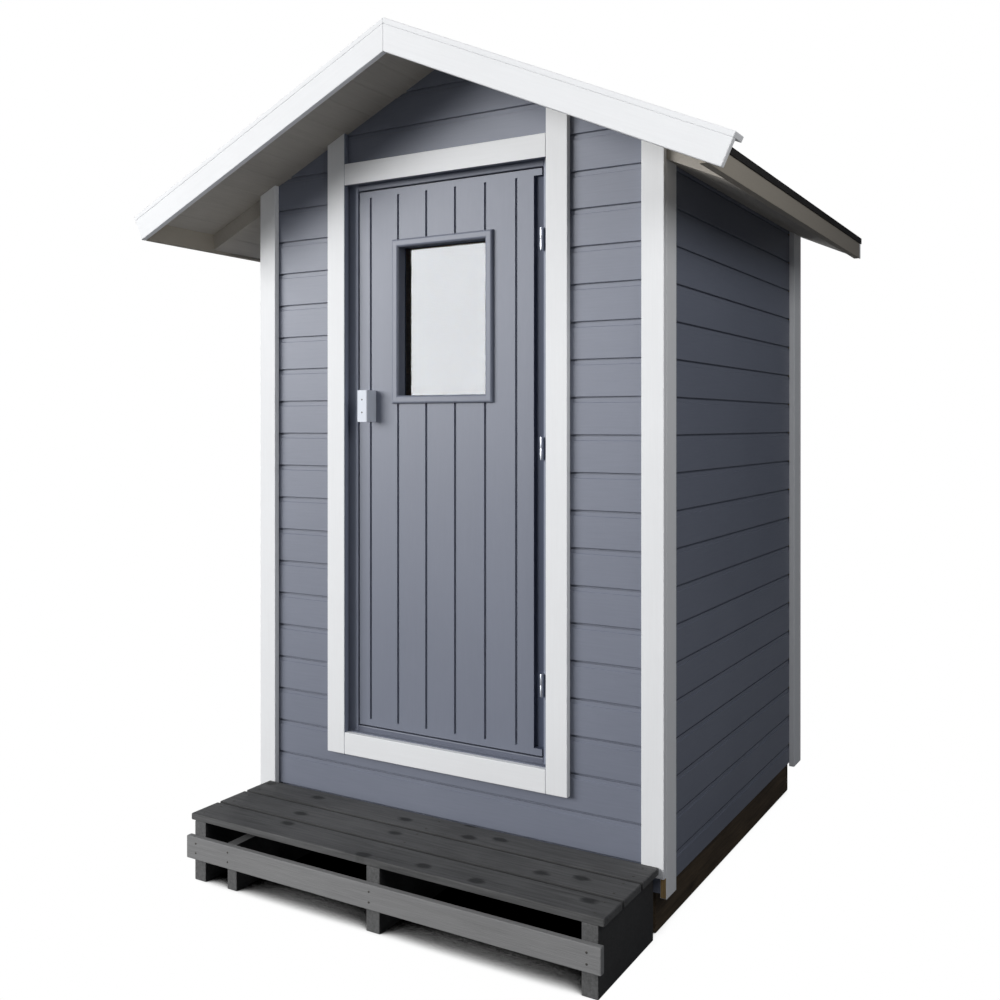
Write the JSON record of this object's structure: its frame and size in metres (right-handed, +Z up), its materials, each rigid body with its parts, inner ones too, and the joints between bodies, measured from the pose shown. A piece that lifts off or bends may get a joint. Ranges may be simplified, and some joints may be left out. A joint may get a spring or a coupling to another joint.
{
  "type": "wooden outhouse",
  "caption": "Small timber outhouse with horizontal siding, white corner boards and casing, a boarded door with a window, a felted gable roof with deep eaves and a low plank step.",
  "frame": {"origin": "on the ground, at the middle of the outline seen from above", "axes": "+Z up, -Y out of the door side, +X to the right of a person facing the door"},
  "size_m": [2.1412, 1.91, 2.6757],
  "materials": {
    "siding_paint": "blue-grey satin paint on spruce siding",
    "door_paint": "blue-grey satin paint on the boarded door",
    "frame_paint": "darker blue-grey satin paint on the door frame",
    "trim_paint": "white satin paint on planed boards",
    "soffit_wood": "white primer on roof boards, greyed by shade",
    "roofing_felt": "black mineral roofing felt",
    "base_timber": "pressure-treated timber, brown-green",
    "floor_timber": "sawn spruce",
    "floor_boards": "planed spruce boards",
    "step_stain": "dark grey stain on sawn boards",
    "skirt_stain": "grey stain on a sawn board",
    "hinge_steel": "zinc-plated steel",
    "pull_metal": "bent aluminium plate, satin",
    "window_glass": "clear float glass"
  },
  "bodies": {
    "cabin": {"base_left": "base_timber", "base_right": "base_timber", "base_front": "base_timber", "base_rear": "base_timber", "floor_joists": "floor_timber", "floor": "floor_boards", "front_wall_left": "siding_paint", "front_wall_right": "siding_paint", "front_wall_over_door": "siding_paint", "front_wall_under_door": "siding_paint", "left_wall": "siding_paint", "right_wall": "siding_paint", "rear_wall": "siding_paint", "door_jamb_lock_side": "frame_paint", "door_jamb_hinge_side": "frame_paint", "door_head": "frame_paint", "door_threshold": "frame_paint", "hinge_pins": "hinge_steel", "casing_left": "trim_paint", "casing_right": "trim_paint", "casing_head": "trim_paint", "casing_bottom": "trim_paint", "corner_boards_front_left": "trim_paint", "corner_boards_front_right": "trim_paint", "corner_boards_rear_left": "trim_paint", "corner_boards_rear_right": "trim_paint", "roof_boards_left": "soffit_wood", "roof_boards_right": "soffit_wood", "roofing_left": "roofing_felt", "roofing_right": "roofing_felt", "ridge_strip": "roofing_felt", "barge_front_left": "trim_paint", "barge_front_right": "trim_paint", "barge_rear_left": "trim_paint", "barge_rear_right": "trim_paint", "verge_cap_front_left": "trim_paint", "verge_cap_front_right": "trim_paint", "eave_board_left": "trim_paint", "eave_board_right": "trim_paint", "eave_box_left": "soffit_wood", "eave_box_right": "soffit_wood", "step_boards": "step_stain", "step_joists": "step_stain", "step_skirt": "skirt_stain", "step_prop": "step_stain"},
    "door": {"door_leaf": "door_paint", "door_window_glass": "window_glass", "door_window_trim": "door_paint", "door_pull": "pull_metal", "hinge_knuckles": "hinge_steel"}
  },
  "joints": [
    {"name": "door_hinge", "type": "hinge", "parent": "cabin", "child": "door", "pos_m": [0.3545, -0.533, 1.398], "axis": [0, 0, 1], "range_deg": [0, 110]}
  ]
}
